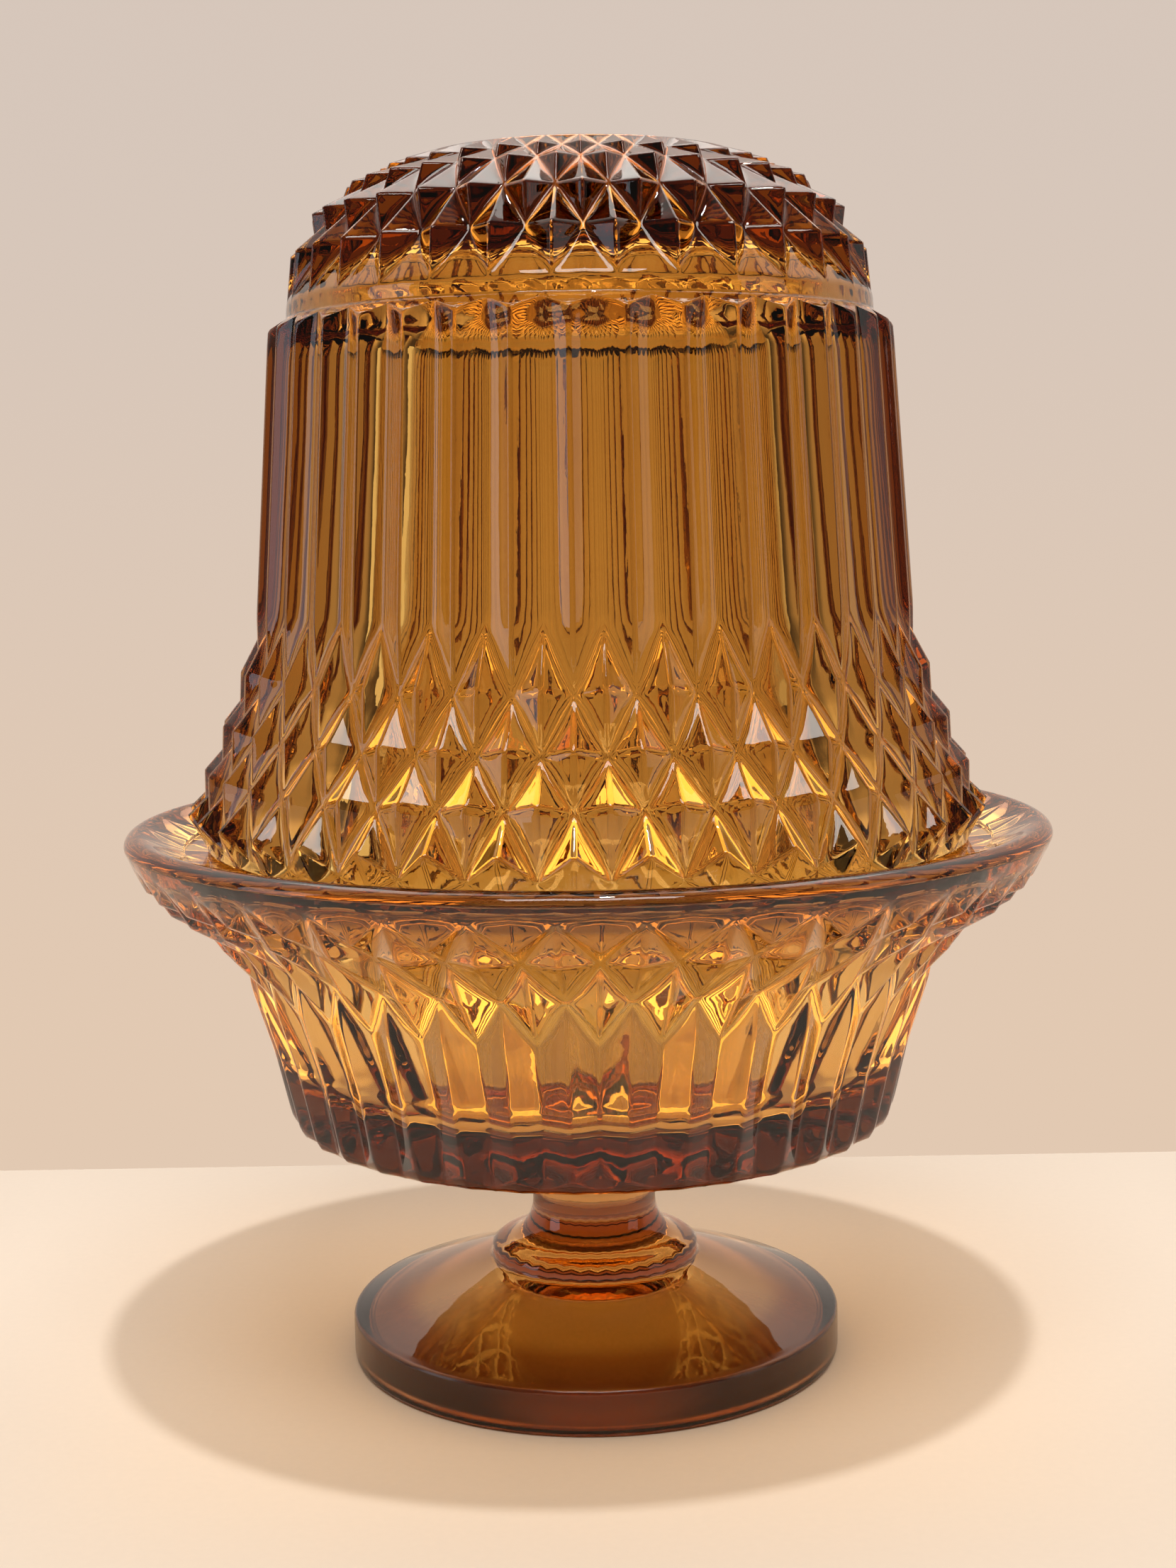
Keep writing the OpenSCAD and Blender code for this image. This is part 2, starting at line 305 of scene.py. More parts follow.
class SpinTree:
    """Geometry Nodes tree that spins rows into a moulded skin."""

    def __init__(self) -> None:
        """Builds the tree."""
        self.tree = bpy.data.node_groups.new("spin_moulded_skin", "GeometryNodeTree")
        face = self.tree.interface
        face.new_socket("Rows", in_out="INPUT", socket_type="NodeSocketGeometry")
        self.columns = face.new_socket("Columns", in_out="INPUT", socket_type="NodeSocketInt")
        self.softening = face.new_socket("Softening", in_out="INPUT", socket_type="NodeSocketFloat")
        self.material = face.new_socket("Material", in_out="INPUT", socket_type="NodeSocketMaterial")
        face.new_socket("Skin", in_out="OUTPUT", socket_type="NodeSocketGeometry")
        self.sheet = NodeSheet(self.tree)
        self._build()

    def _row_value(
        self, rows: bpy.types.NodeSocket, index: object, name: str, kind: str
    ) -> bpy.types.NodeSocket:
        """Attribute of the row with that index.

        Args:
            rows: The line of rows.
            index: Socket with the row's index.
            name: Name of the attribute.
            kind: Its data type.

        Returns:
            Socket with the value.
        """
        named = self.sheet.add("GeometryNodeInputNamedAttribute", {"Name": name}, data_type=kind)
        sample = self.sheet.add("GeometryNodeSampleIndex", data_type=kind, domain="POINT", clamp=True)
        self.sheet.feed(sample.inputs["Geometry"], rows)
        self.sheet.feed(shown(sample.inputs, "Value"), shown(named.outputs, "Attribute"))
        self.sheet.feed(sample.inputs["Index"], index)
        return shown(sample.outputs, "Value")

    def _place(
        self, rows: bpy.types.NodeSocket, column: object, row: object, columns: object
    ) -> bpy.types.NodeSocket:
        """Place of a point from its column and row.

        Args:
            rows: The line of rows.
            column: Socket with the column.
            row: Socket with the row.
            columns: Socket with the number of columns.

        Returns:
            Socket with the position.
        """
        s = self.sheet
        even = self._row_value(rows, row, "even", "FLOAT_VECTOR")
        odd = self._row_value(rows, row, "odd", "FLOAT_VECTOR")
        crease = self._row_value(rows, row, "crease", "FLOAT_VECTOR")
        at = self._row_value(rows, row, "crease_at", "FLOAT")
        cells = self._row_value(rows, row, "cells", "FLOAT")
        turn = self._row_value(rows, row, "turn", "FLOAT")
        flat = self._row_value(rows, row, "flat", "FLOAT")
        along = s.math("DIVIDE", column, cells)
        cell = s.math("FLOOR", s.math("ADD", along, 1e-4))
        share = s.math("SUBTRACT", along, cell)
        wave = s.math("SINE", s.math("MULTIPLY", share, 2 * math.pi))
        share = s.math("SUBTRACT", share, s.math("MULTIPLY", wave, CLUSTER / (2 * math.pi)))
        parity = s.math("FLOORED_MODULO", cell, 2.0)
        flipped = s.math("SUBTRACT", 1.0, share)
        from_even = s.math("ADD", share, s.math("MULTIPLY", parity, s.math("SUBTRACT", flipped, share)))
        before = s.mix(s.math("DIVIDE", from_even, at), even, crease)
        past = s.math("DIVIDE", s.math("SUBTRACT", from_even, at), s.math("SUBTRACT", 1.0, at))
        point = s.add("ShaderNodeSeparateXYZ", {0: s.mix(past, before, odd)})
        bow = self._row_value(rows, row, "bow", "FLOAT")
        hollow = s.math("MULTIPLY", bow, s.math("MULTIPLY", share, s.math("SUBTRACT", 1.0, share)))
        width = s.math("DIVIDE", s.math("MULTIPLY", cells, 2 * math.pi), columns)
        angle = s.math("ADD", turn, s.math("MULTIPLY", s.math("ADD", cell, share), width))
        half = s.math("COSINE", s.math("MULTIPLY", width, 0.5))
        off = s.math("COSINE", s.math("MULTIPLY", s.math("SUBTRACT", share, 0.5), width))
        chord = s.math("SUBTRACT", s.math("DIVIDE", half, off), 1.0)
        reach = s.math("SUBTRACT", point.outputs[0], hollow)
        radius = s.math("MULTIPLY", reach, s.math("ADD", 1.0, s.math("MULTIPLY", chord, flat)))
        x = s.math("MULTIPLY", radius, s.math("SINE", angle))
        y = s.math("MULTIPLY", radius, s.math("MULTIPLY", s.math("COSINE", angle), -1.0))
        return s.add("ShaderNodeCombineXYZ", {0: x, 1: y, 2: point.outputs[1]}).outputs[0]

    def _build(self) -> None:
        """Adds the nodes: a sheet of points, its places, its folds, the closed seam and soft edges."""
        s = self.sheet
        given = s.add("NodeGroupInput")
        rows = given.outputs["Rows"]
        size = s.add("GeometryNodeAttributeDomainSize", {"Geometry": rows}, component="MESH")
        count = size.outputs["Point Count"]
        grid = s.add(
            "GeometryNodeMeshGrid",
            {"Vertices X": s.math("ADD", given.outputs["Columns"], 1.0), "Vertices Y": count},
        )
        index = s.add("GeometryNodeInputIndex").outputs[0]
        middle = s.math("ADD", index, 0.5)
        column = s.math("FLOOR", s.math("DIVIDE", middle, count))
        row = s.math("SUBTRACT", index, s.math("MULTIPLY", column, count))
        soft = s.add("GeometryNodeStoreNamedAttribute", {"Geometry": grid.outputs["Mesh"], "Name": "soft"},
                     data_type="FLOAT", domain="POINT")
        s.feed(shown(soft.inputs, "Value"), self._row_value(rows, row, "soft", "FLOAT"))
        placed = s.add(
            "GeometryNodeSetPosition",
            {
                "Geometry": soft.outputs[0],
                "Position": self._place(rows, column, row, given.outputs["Columns"]),
            },
        )
        less = s.math("SUBTRACT", count, 1.0)
        strip = s.math("FLOOR", s.math("DIVIDE", middle, less))
        level = s.math("SUBTRACT", index, s.math("MULTIPLY", strip, less))
        cells = self._row_value(rows, level, "cells", "FLOAT")
        lean = self._row_value(rows, level, "lean", "FLOAT")
        cell = s.math("FLOOR", s.math("DIVIDE", s.math("ADD", strip, 0.5), cells))
        side = s.math("FLOORED_MODULO", s.math("ADD", cell, lean), 2.0)
        marked = s.add("GeometryNodeStoreNamedAttribute", {"Geometry": placed.outputs[0], "Name": "side"},
                       data_type="FLOAT", domain="FACE")
        s.feed(shown(marked.inputs, "Value"), side)
        named = s.add("GeometryNodeInputNamedAttribute", {"Name": "side"}, data_type="FLOAT")
        value = shown(named.outputs, "Attribute")
        first = s.add(
            "GeometryNodeTriangulate",
            {"Mesh": marked.outputs[0], "Selection": s.math("LESS_THAN", value, 0.5)},
            quad_method="FIXED",
        )
        second = s.add(
            "GeometryNodeTriangulate",
            {"Mesh": first.outputs[0], "Selection": s.math("GREATER_THAN", value, 0.5)},
            quad_method="FIXED_ALTERNATE",
        )
        closed = s.add(
            "GeometryNodeMergeByDistance", {"Geometry": second.outputs[0], "Distance": 2e-6}
        )
        weight = s.add("GeometryNodeInputNamedAttribute", {"Name": "soft"}, data_type="FLOAT")
        blur = s.add("GeometryNodeBlurAttribute", {"Iterations": 1}, data_type="FLOAT_VECTOR")
        s.feed(shown(blur.inputs, "Value"), s.add("GeometryNodeInputPosition").outputs[0])
        s.feed(
            blur.inputs["Weight"],
            s.math("MULTIPLY", shown(weight.outputs, "Attribute"), given.outputs["Softening"]),
        )
        eased = s.add(
            "GeometryNodeSetPosition",
            {"Geometry": closed.outputs[0], "Position": shown(blur.outputs, "Value")},
        )
        even = s.add("GeometryNodeSetShadeSmooth", {"Geometry": eased.outputs[0]}, domain="FACE")
        tidy = s.add("GeometryNodeRemoveAttribute", {"Geometry": even.outputs[0], "Name": "soft"})
        tidy = s.add("GeometryNodeRemoveAttribute", {"Geometry": tidy.outputs[0], "Name": "side"})
        real = s.add("GeometryNodeRealizeInstances", {"Geometry": tidy.outputs[0]})
        dressed = s.add(
            "GeometryNodeSetMaterial",
            {"Geometry": real.outputs[0], "Material": given.outputs["Material"]},
        )
        s.add("NodeGroupOutput", {"Skin": dressed.outputs[0]})

    def spin(self, name: str, rows: Rows, material: bpy.types.Material, softening: float,
             columns: int = COLUMNS) -> bpy.types.Object:
        """Spins rows into a finished piece.

        Args:
            name: Name of the piece.
            rows: Its rows.
            material: Its finish.
            softening: How far sharp edges are eased, from 0 to 1.
            columns: Number of columns round it.

        Returns:
            The piece, with a plain mesh.
        """
        maker = bpy.data.objects.new(name + "_rows", rows.mesh(name + "_rows"))
        bpy.context.scene.collection.objects.link(maker)
        modifier = maker.modifiers.new("spin", "NODES")
        modifier.node_group = self.tree
        modifier[self.columns.identifier] = columns
        modifier[self.softening.identifier] = softening
        modifier[self.material.identifier] = material
        piece = plain_piece(name, maker)
        keep_facets_flat(piece.data)
        return piece


def open_rings(bm: bmesh.types.BMesh) -> list[list[bmesh.types.BMVert]]:
    """Open edges of a skin, as rings in order round the axis, the narrowest ring first."""
    rings, seen = [], set()
    for start in bm.edges:
        ring, todo = set(), [start]
        while todo:
            edge = todo.pop()
            if edge.is_boundary and edge not in seen:
                seen.add(edge)
                ring.update(edge.verts)
                todo += [e for v in edge.verts for e in v.link_edges]
        if ring:
            rings.append(sorted(ring, key=lambda v: math.atan2(v.co.x, -v.co.y)))
    return sorted(rings, key=lambda ring: ring[0].co.xy.length)


def zip_rings(bm: bmesh.types.BMesh, a: list[bmesh.types.BMVert], b: list[bmesh.types.BMVert]) -> None:
    """Fills the gap between two rings that have different numbers of points.

    Args:
        bm: The skin.
        a: Points of one ring, in order round the axis.
        b: Points of the other ring, in the same order.
    """
    i = j = 0
    while i < len(a) or j < len(b):
        here, there = a[i % len(a)], b[j % len(b)]
        if (i + 1) * len(b) <= (j + 1) * len(a):
            i += 1
            corners = (here, a[i % len(a)], there)
        else:
            j += 1
            corners = (here, b[j % len(b)], there)
        face = bm.faces.new(corners)
        face.smooth = True
        face.material_index = here.link_faces[0].material_index


def join_strips(lower: bpy.types.Object, upper: bpy.types.Object) -> None:
    """Joins two open strips of one skin ring to ring, into the first one.

    Args:
        lower: Strip that becomes the closed piece.
        upper: Strip that is used up.
    """
    bm = bmesh.new()
    for strip in (lower, upper):
        bm.from_mesh(strip.data)
    inner_a, inner_b, outer_a, outer_b = open_rings(bm)
    zip_rings(bm, inner_a, inner_b)
    zip_rings(bm, outer_a, outer_b)
    bmesh.ops.recalc_face_normals(bm, faces=bm.faces[:])
    bm.to_mesh(lower.data)
    bm.free()
    mesh = upper.data
    bpy.data.objects.remove(upper)
    bpy.data.meshes.remove(mesh)
    keep_facets_flat(lower.data)


def keep_facets_flat(mesh: bpy.types.Mesh) -> None:
    """Gives a mesh normals that follow its large faces, so only the narrow strips at edges look round."""
    count = len(mesh.vertices)
    points = np.empty(count * 3, np.float32)
    mesh.vertices.foreach_get("co", points)
    points = points.reshape(-1, 3).astype(float)
    mesh.calc_loop_triangles()
    corners = np.empty(len(mesh.loop_triangles) * 3, np.int32)
    mesh.loop_triangles.foreach_get("vertices", corners)
    corners = corners.reshape(-1, 3)
    a, b, c = (points[corners[:, i]] for i in range(3))
    cross = np.cross(b - a, c - a)
    area = np.linalg.norm(cross, axis=1, keepdims=True)
    total = np.zeros((count, 3))
    for i in range(3):
        np.add.at(total, corners[:, i], cross * area)
    total /= np.maximum(np.linalg.norm(total, axis=1, keepdims=True), 1e-30)
    mesh.normals_split_custom_set_from_vertices([tuple(n) for n in total])


def plain_piece(name: str, maker: bpy.types.Object) -> bpy.types.Object:
    """Turns what an object's modifiers make into a piece with a plain mesh, and removes the object.

    Args:
        name: Name of the piece.
        maker: Object with live modifiers.

    Returns:
        The piece.
    """
    graph = bpy.context.evaluated_depsgraph_get()
    mesh = bpy.data.meshes.new_from_object(maker.evaluated_get(graph))
    mesh.name = name
    piece = bpy.data.objects.new(name, mesh)
    bpy.context.scene.collection.objects.link(piece)
    source = maker.data
    bpy.data.objects.remove(maker)
    if isinstance(source, bpy.types.Mesh):
        bpy.data.meshes.remove(source)
    return piece


def blank_finish(name: str) -> tuple[bpy.types.Material, NodeSheet, bpy.types.NodeSocket]:
    """Starts a finish with an empty sheet of nodes.

    Args:
        name: Name of the finish.

    Returns:
        The material, its sheet, and a socket with the place on the piece.
    """
    mat = bpy.data.materials.new(name)
    mat.use_nodes = True
    mat.node_tree.nodes.clear()
    s = NodeSheet(mat.node_tree)
    return mat, s, s.add("ShaderNodeTexCoord").outputs["Object"]


@dataclass(frozen=True)
class PaintedLightBand:
    """A ring of the glass whose face colour is changed to paint in light or shade, sizes in metres: a darker
    colour there is painted shade, a paler one painted light.
    """

    radius: float
    low: float
    high: float
    face: Colour
    fade: float = 0.0005

    def share(self, s: NodeSheet, place: bpy.types.NodeSocket) -> bpy.types.NodeSocket:
        """Share of the band's colour at a place on the glass.

        Args:
            s: The material's nodes.
            place: Socket with the place.

        Returns:
            Socket with the share, from 0 to 1.
        """
        x, y, level = s.add("ShaderNodeSeparateXYZ", {0: place}).outputs
        across = s.math("SQRT", s.math("ADD", s.math("MULTIPLY", x, x), s.math("MULTIPLY", y, y)))
        share = s.ramp(across, self.radius - self.fade, self.radius + self.fade)
        above = s.ramp(level, self.low - self.fade, self.low + self.fade)
        below = s.ramp(level, self.high + self.fade, self.high - self.fade)
        return s.math("MULTIPLY", share, s.math("MULTIPLY", above, below))


@dataclass(frozen=True)
class AmberGlass:
    """Pressed amber glass: clear with a slightly uneven skin, coloured in its thickness and at its faces,
    with painted shade and painted light in bands of face colour.
    """

    name: str
    density: float = 135.0
    tint: Colour = (0.70, 0.46, 0.0)
    face: Colour = (0.99, 0.80, 0.42)
    painted_light_bands: tuple[PaintedLightBand, ...] = ()
    wave: float = 0.06
    satin_below: float | None = None

    def material(self) -> bpy.types.Material:
        """Builds the finish.

        Returns:
            The material.
        """
        mat, s, place = blank_finish(self.name)
        swell = s.add("ShaderNodeTexNoise", {"Vector": place, "Scale": 70.0, "Detail": 2.0})
        skin = s.add("ShaderNodeTexNoise", {"Vector": place, "Scale": 420.0, "Detail": 3.0})
        drawn = s.add("ShaderNodeMapping", {"Vector": place, "Scale": (1.0, 1.0, 0.05)})
        streak = s.add("ShaderNodeTexNoise", {"Vector": drawn.outputs[0], "Scale": 420.0, "Detail": 3.0})
        height = s.math("ADD", swell.outputs[0], s.math("MULTIPLY", skin.outputs[0], 0.2))
        height = s.math("ADD", height, s.math("MULTIPLY", streak.outputs[0], 0.5))
        bump = s.add(
            "ShaderNodeBump", {"Height": height, "Strength": self.wave, "Distance": 0.0006}
        )
        smear = s.add("ShaderNodeTexNoise", {"Vector": place, "Scale": 45.0, "Detail": 4.0})
        rough = s.add(
            "ShaderNodeMapRange",
            {"Value": smear.outputs[0], "From Min": 0.35, "From Max": 0.75, "To Min": 0.0, "To Max": 0.02},
        )
        roughness = rough.outputs[0]
        if self.satin_below is not None:
            level = s.add("ShaderNodeSeparateXYZ", {0: place}).outputs[2]
            satin = s.math("MULTIPLY", s.math("LESS_THAN", level, self.satin_below), 0.2)
            roughness = s.math("MAXIMUM", roughness, satin)
        face = (*self.face, 1.0)
        # Blends in the painted shade and painted light of the bands.
        for band in self.painted_light_bands:
            face = s.blend(band.share(s, place), face, (*band.face, 1.0))
        glass = s.add(
            "ShaderNodeBsdfPrincipled",
            {
                "Base Color": face,
                "Roughness": roughness,
                "IOR": 1.52,
                "Transmission Weight": 1.0,
                "Normal": bump.outputs[0],
            },
        )
        inside = s.add("ShaderNodeVolumeAbsorption", {"Color": (*self.tint, 1.0), "Density": self.density})
        s.add("ShaderNodeOutputMaterial", {"Surface": glass.outputs[0], "Volume": inside.outputs[0]})
        return mat


@dataclass
class Shade:
    """Domed shade: a skirt of moulded points, long flutes, a plain neck and a pointed dome."""

    edge: Point = (52.4, 73.24)
    edge_top: float = 73.8
    hem: Point = (52.6, 75.24)
    skirt: tuple[Point, ...] = ((44.9, 104.8), (47.2, 97.2), (49.9, 90.3), (52.5, 84.1), (55.0, 78.6))
    flute_top: Point = (42.2, 142.2)
    flute_depth: float = 1.8
    shoulder_slope: float = 0.654
    neck: Point = (39.6, 143.9)
    dome_foot: Point = (39.4, 146.2)
    dome_h: float = 20.4
    dome_power: float = 2.6
    dome_rows: tuple[float, ...] = (0.0, 12.0, 27.5, 43.0, 53.0, 62.5, 69.5)
    dome_in: Point = (33.2, 6.6)
    vent_r: float = 14.0
    point_h: float = 2.4
    dome_point_h: float = 3.4
    wall: float = 4.8
    edge_in_r: float = 49.8
    turn: float = -1.8
    dome_turn: float = -2.9

    def arch(self, angle: float, radius: float, height: float) -> Point:
        """Point of the dome's outline at an angle up its arch."""
        a = math.radians(angle)
        power = 2 / self.dome_power
        return (radius * math.cos(a) ** power, self.dome_foot[1] + height * math.sin(a) ** power)

    def skirt_inside(self, rows: Rows) -> None:
        """Adds the smooth inside, from the neck down to the bottom edge."""
        style = Moulding(cells=6, turn=self.turn, flat=False, soft=0.0)
        top = self.flute_top[0] - self.flute_depth - self.wall
        low = self.skirt[0][0] - self.flute_depth - self.wall
        radius, neck_z = self.dome_in[0], self.neck[1]
        wall = [(radius + 0.05, neck_z + 0.8), (radius + 0.3, neck_z - 0.8), (radius + 0.9, neck_z - 2.4)]
        wall += [(top - 0.5, neck_z - 3.8), (top - 0.05, neck_z - 6.0), (top + 0.2, neck_z - 10.0)]
        wall += [between((top + 0.5, neck_z - 16.0), (low, self.skirt[0][1]), t / 4) for t in range(5)]
        wall += [(r - self.point_h - self.wall, z) for r, z in self.skirt[1:5]]
        wall += [(self.edge_in_r - 0.3, self.edge[1] + 1.2), (self.edge_in_r, self.edge[1] + 0.4)]
        wall += [(self.edge_in_r + 0.15, self.edge[1] + 0.12), (self.edge_in_r + 0.5, self.edge[1])]
        rows.smooth(wall, style)

    def skirt_outside(self, rows: Rows) -> None:
        """Adds the moulded outside, from the bottom edge to the neck."""
        style = Moulding(cells=6, turn=self.turn)
        low, p = self.skirt, self.point_h
        top = self.flute_top
        groove = (top[0] - self.flute_depth, top[1] + self.flute_depth * self.shoulder_slope)
        flute_end = Ring(top, groove)
        rings = [
            Ring.plain((self.edge[0], self.edge_top)),
            Ring(low[4], self.hem),
            Ring(sink(low[4], low[3], low[2], p), low[3]),
            Ring(low[2], sink(low[3], low[2], low[1], p)),
            Ring(sink(low[2], low[1], low[0], p), low[1]),
            Ring(low[0], (low[0][0] - self.flute_depth, low[0][1])),
        ]
        rows.smooth([(self.edge[0] - 0.3, self.edge[1]), (self.edge[0], self.edge[1] + 0.25)], style)
        for k, (low_ring, high_ring) in enumerate(zip(rings, rings[1:])):
            rows.band(low_ring, high_ring, Fold.ODD if k % 2 else Fold.EVEN, 6, style)
        fluted = Moulding(cells=6, turn=self.turn, bow=self.flute_depth)
        rows.flutes(rings[-1], flute_end, Fold.EVEN, 16, fluted)
        rows.band(flute_end, Ring.plain(self.neck), Fold.EVEN, 6, style)
        rows.smooth([self.neck, between(self.neck, self.dome_foot, 0.2)], style)

    def dome(self, rows: Rows) -> None:
        """Adds the dome, from the neck over the moulded top, through the vent and down its inside."""
        style = Moulding(cells=8, turn=self.turn + self.dome_turn)
        plain = Moulding(cells=8, turn=self.turn + self.dome_turn, flat=False, soft=0.0)
        rows.smooth(line(between(self.neck, self.dome_foot, 0.4), self.dome_foot, 3), plain)
        a = [self.arch(angle, self.dome_foot[0], self.dome_h) for angle in self.dome_rows]
        dent = [(r - self.dome_point_h, z) for r, z in a]
        rings = [
            Ring.plain(a[0]),
            Ring(a[1], dent[1]),
            Ring(dent[2], a[2]),
            Ring(a[3], dent[3]),
            Ring(dent[4], a[4]),
            Ring.plain(a[5]),
        ]
        for k, (low_ring, high_ring) in enumerate(zip(rings, rings[1:])):
            rows.band(low_ring, high_ring, Fold.ODD if k % 2 else Fold.EVEN, 8, style)
        rows.smooth(line(a[5], a[6], 3), plain)
        lid = a[6]
        rows.smooth(line(lid, (self.vent_r + 0.6, lid[1]), 3), plain)
        rows.smooth(arc((self.vent_r + 0.5, lid[1] - 0.5), (0.5, 0.5), 90, 180, 4), plain)
        radius, height = self.dome_in
        end = math.degrees(math.acos((self.vent_r / radius) ** (self.dome_power / 2)))
        under = [self.arch(end * (1 - i / 16), radius, height) for i in range(17)]
        rows.smooth([(self.vent_r, under[0][1] + 0.5)], plain)
        rows.smooth(under[1:], plain)
        rows.smooth([(radius, self.neck[1] + 2.0)], plain)

    def build(self, spinner: SpinTree) -> bpy.types.Object:
        """Makes the shade and puts it on its body.

        Args:
            spinner: The tree that spins skins.

        Returns:
            The piece.
        """
        glass = AmberGlass("shade_amber_glass").material()
        skirt, dome = Rows(), Rows()
        self.skirt_inside(skirt)
        self.skirt_outside(skirt)
        self.dome(dome)
        piece = spinner.spin("shade_glass", skirt, glass, 1.0)
        join_strips(piece, spinner.spin("shade_dome", dome, glass, 1.0, DOME_COLUMNS))
        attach(piece, "shade")
        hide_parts("shade")
        return piece


@dataclass
class FootedBowl:
    """Bowl on a stem and foot: flutes and two rows of moulded points under a plain lip."""

    foot_r: float = 34.4
    foot_edge_h: float = 6.4
    foot_hollow: float = 7.0
    foot_ring: float = 4.0
    bell: Point = (14.5, 13.4)
    bell_edge_h: float = 2.2
    waist: Point = (8.7, 21.3)
    under_z: float = 33.8
    heel: Point = (42.2, 36.0)
    hip: Point = (47.2, 54.2)
    top: Point = (62.4, 72.2)
    rim: Point = (63.5, 74.5)
    seat: Point = (55.5, 73.18)
    ledge_r: float = 49.0
    floor_z: float = 40.8
    wall: float = 3.2
    point_h: float = 3.0
    flute_depth: float = 1.6
    heel_flute: float = 1.3
    band_dip: float = 0.2
    turn: float = 1.2

    def flare(self, t: float) -> Point:
        """Point of the bowl's outline from its hip, at 0, to its plain band, at 1."""
        ease = t * t * (3 - 2 * t)
        return (between(self.hip, self.top, ease)[0], between(self.hip, self.top, t)[1])

    def foot(self, rows: Rows, style: Moulding) -> None:
        """Adds the foot, bell and stem, from the middle of the hollow to under the bowl."""
        ring, top = self.foot_r - self.foot_ring, self.bell[0] * 0.8
        rows.smooth([(0.0, self.foot_hollow + 0.6), (4.0, self.foot_hollow + 0.5)], style)
        rows.smooth([(8.0, self.foot_hollow + 0.25), (top - 0.5, self.foot_hollow + 0.05)], style)
        rows.smooth(line((top + 0.6, self.foot_hollow - 0.2), (ring - 1.0, 0.75), 8), style)
        rows.smooth([(ring - 0.6, 0.6), (ring - 0.3, 0.35), (ring, 0.12), (ring + 0.3, 0.0)], style)
        soft = 0.8
        rows.smooth([(self.foot_r - 1.6, 0.0)], style)
        rows.smooth(arc((self.foot_r - soft, soft), (soft, soft), -90, 0, 5), style)
        rows.smooth(arc((self.foot_r - soft, self.foot_edge_h - soft), (soft, soft), 0, 68, 5), style)
        bell_r, bell_z = self.bell
        foot_top = (self.foot_r - soft + 0.1, self.foot_edge_h + 0.02)
        bell_foot = (bell_r + 0.7, bell_z - 0.3)
        rows.smooth(line(foot_top, bell_foot, 8), style)
        rows.smooth([bell_foot, (bell_r + 0.25, bell_z - 0.05), (bell_r + 0.02, bell_z + 0.35)], style)
        top = bell_z + self.bell_edge_h
        rows.smooth([(bell_r, bell_z + 0.9), (bell_r, top - 0.5)], style)
        waist_r, waist_z = self.waist
        for i in range(1, 13):
            a = math.radians(90 * i / 12)
            radius = waist_r + (bell_r - waist_r) * (1 - math.sin(a))
            rows.smooth([(radius, waist_z - (waist_z - top) * math.cos(a))], style)
        rise = self.under_z - waist_z
        for i in range(1, 15):
            t = i / 14
            rows.smooth([(waist_r + waist_r * 1.3 * t**3, waist_z + rise * (1 - (1 - t) ** 1.4))], style)

    def outside(self, rows: Rows, style: Moulding, plain: Moulding) -> None:
        """Adds the moulded outside, from under the bowl to the plain band."""
        heel, hip, p = self.heel, self.hip, self.point_h
        row1, row2 = self.flare(1 / 3), self.flare(2 / 3)
        belly = between(heel, hip, 0.5)
        belly = (belly[0] - 0.4, belly[1])
        depth = self.flute_depth
        rows.smooth(line((22.0, self.under_z), (heel[0] - 2.4, self.under_z), 4), plain)
        apex = self.flare(1 - self.band_dip)
        edge = (heel[0] - 0.8, self.under_z + 0.77)
        foot = [
            Ring.plain((heel[0] - 2.4, self.under_z)),
            Ring((edge[0] - self.heel_flute * 0.6, edge[1]), edge),
        ]
        flutes = [
            Ring((heel[0] - self.heel_flute, heel[1]), heel),
            Ring((belly[0] - depth, belly[1]), belly),
            Ring((hip[0] - depth, hip[1]), hip),
        ]
        points = [
            flutes[-1],
            Ring(row1, (row1[0] - p, row1[1])),
            Ring((row2[0] - p, row2[1]), row2),
            Ring(apex, self.top),
        ]
        rows.band(foot[0], foot[1], Fold.ODD, 2, style)
        rows.band(foot[1], flutes[0], Fold.EVEN, 3, style)
        for low, high in zip(flutes, flutes[1:]):
            rows.flutes(low, high, Fold.ODD, 6, style)
        for k, (low, high) in enumerate(zip(points, points[1:])):
            rows.band(low, high, Fold.ODD if k % 2 else Fold.EVEN, 6, style)
        rows.band(points[-1], Ring.plain((self.rim[0] - 0.1, self.rim[1] - 0.9)), Fold.ODD, 3, style)

    def inside(self, rows: Rows, style: Moulding) -> None:
        """Adds the lip, the slope and seat inside it, the ledge, wall and floor."""
        rows.smooth(arc((self.rim[0] - 1.9, self.rim[1] - 0.1), (1.9, 1.6), -8, 90, 9), style)
        seat_r, seat_z = self.seat
        rows.smooth([(61.0, 75.93), (60.4, 75.72), (59.6, 75.4)], style)
        rows.smooth(line((58.6, 75.0), (seat_r + 0.5, 73.98), 3), style)
        rows.smooth([(seat_r + 0.2, 73.85), (seat_r, 73.6)], style)
        rows.smooth([(seat_r, seat_z + 0.12), (seat_r - 0.12, seat_z), (53.5, seat_z)], style)
        rows.smooth([(self.ledge_r + 0.4, seat_z), (self.ledge_r + 0.1, seat_z - 0.1)], style)
        rows.smooth([(self.ledge_r, seat_z - 0.4), (self.ledge_r, seat_z - 2.2)], style)
        hip_in = self.hip[0] - self.flute_depth - self.wall
        row_in = (self.flare(1 / 3)[0] - self.point_h - self.wall, self.flare(1 / 3)[1])
        rows.smooth([(self.ledge_r - 0.1, 69.6), (self.ledge_r - 0.6, 68.4)], style)
        rows.smooth(line((self.ledge_r - 1.3, 67.0), row_in, 4), style)
        rows.smooth(line(row_in, (hip_in, self.hip[1]), 3), style)
        slope = (self.hip[0] - self.heel[0]) / (self.hip[1] - self.heel[1])
        base_in = hip_in - slope * (self.hip[1] - self.floor_z)
        rows.smooth(line((hip_in, self.hip[1]), (base_in, self.floor_z + 5), 4), style)
        rows.smooth(arc((base_in - 5, self.floor_z + 5), (5, 5), 0, -90, 8), style)
